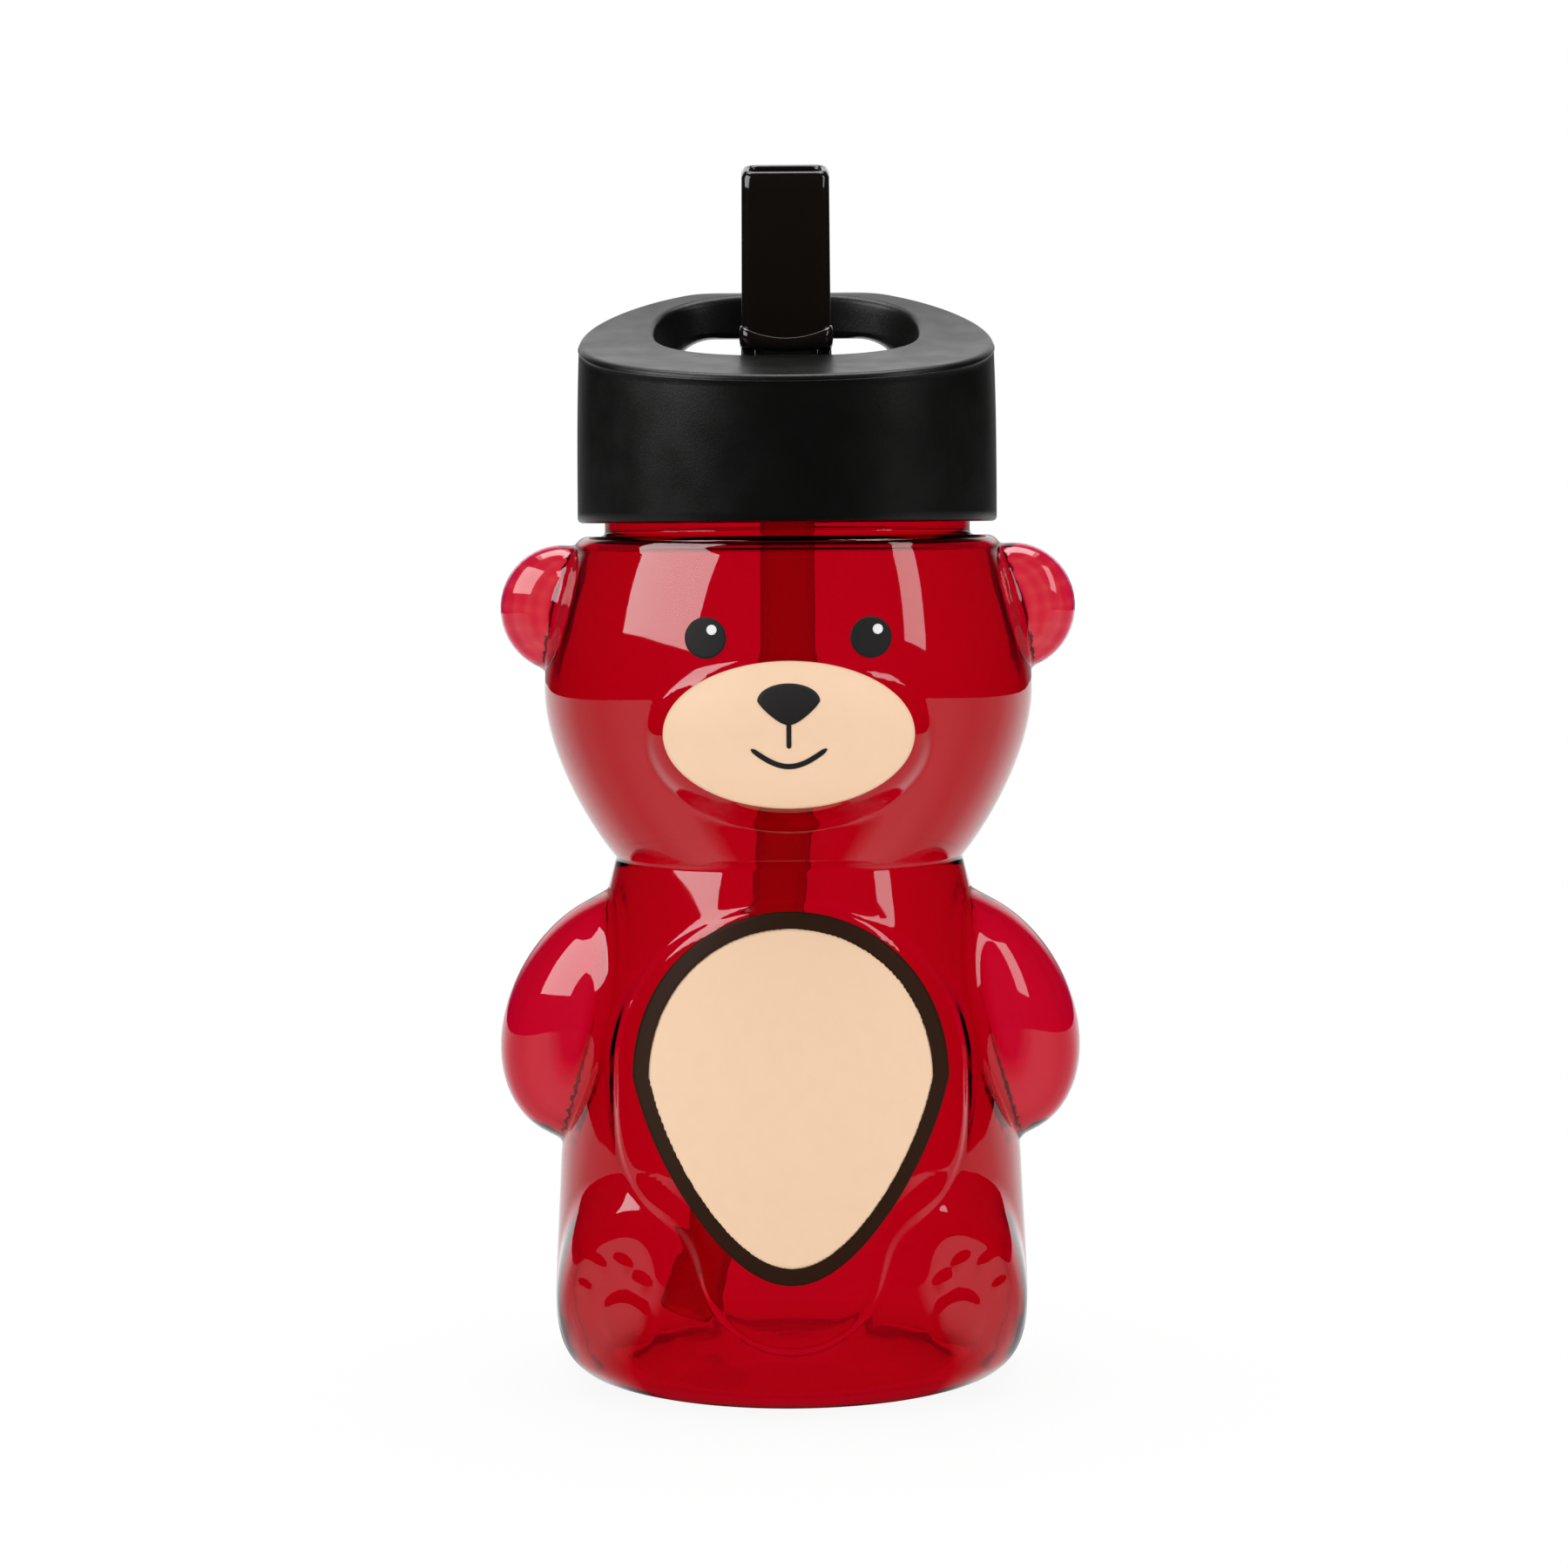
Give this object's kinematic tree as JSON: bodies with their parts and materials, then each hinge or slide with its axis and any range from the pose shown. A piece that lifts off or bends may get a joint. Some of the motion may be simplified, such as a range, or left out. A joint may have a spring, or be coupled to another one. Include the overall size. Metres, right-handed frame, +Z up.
{
  "type": "water bottle",
  "caption": "Hollow bear-shaped drinking bottle with a screw lid that carries a finger loop, a fold-down spout and a bent straw.",
  "frame": {"origin": "middle of the standing base's bounding box, on the table: the bottle's own round axis stands 2.45 mm behind it, because the muzzle reaches further out than the back", "axes": "+Z up along the bottle's round axis, -Y out of the bear's face, +X to the right as the face is looked at"},
  "size_m": [0.0862, 0.077, 0.1785],
  "materials": {
    "bear_body": "clear red blown plastic, glossy",
    "lid_shell": "black moulded plastic with a fine satin grain",
    "gasket_rubber": "matt black silicone",
    "pivot_plastic": "black moulded plastic",
    "mouthpiece_rubber": "glossy black soft plastic",
    "seal_rubber": "matt black silicone",
    "straw_plastic": "translucent red plastic",
    "valve_rubber": "matt black silicone"
  },
  "bodies": {
    "bear": {"bottle": "bear_body"},
    "gasket": {"lid_gasket": "gasket_rubber"},
    "lid": {"lid": "lid_shell", "spout_seal": "seal_rubber", "straw": "straw_plastic", "vent_valve": "valve_rubber"},
    "spout": {"spout_pivot": "pivot_plastic", "mouthpiece": "mouthpiece_rubber"}
  },
  "joints": [
    {"name": "lid_rise", "type": "slide", "parent": "bear", "child": "gasket", "axis": [0, 0, 1], "range_m": [0, 0.006]},
    {"name": "lid_turn", "type": "hinge", "parent": "gasket", "child": "lid", "pos_m": [0, 0.00245, 0.1432], "axis": [0, 0, 1], "range_deg": [0, 540]},
    {"name": "spout_flip", "type": "hinge", "parent": "lid", "child": "spout", "pos_m": [0, -0.00295, 0.1484], "axis": [-1, 0, 0], "range_deg": [0, 76]}
  ],
  "couplings": [
    {"joint": "lid_rise", "follows": "lid_turn", "m_per_rad": 0.00063662}
  ]
}
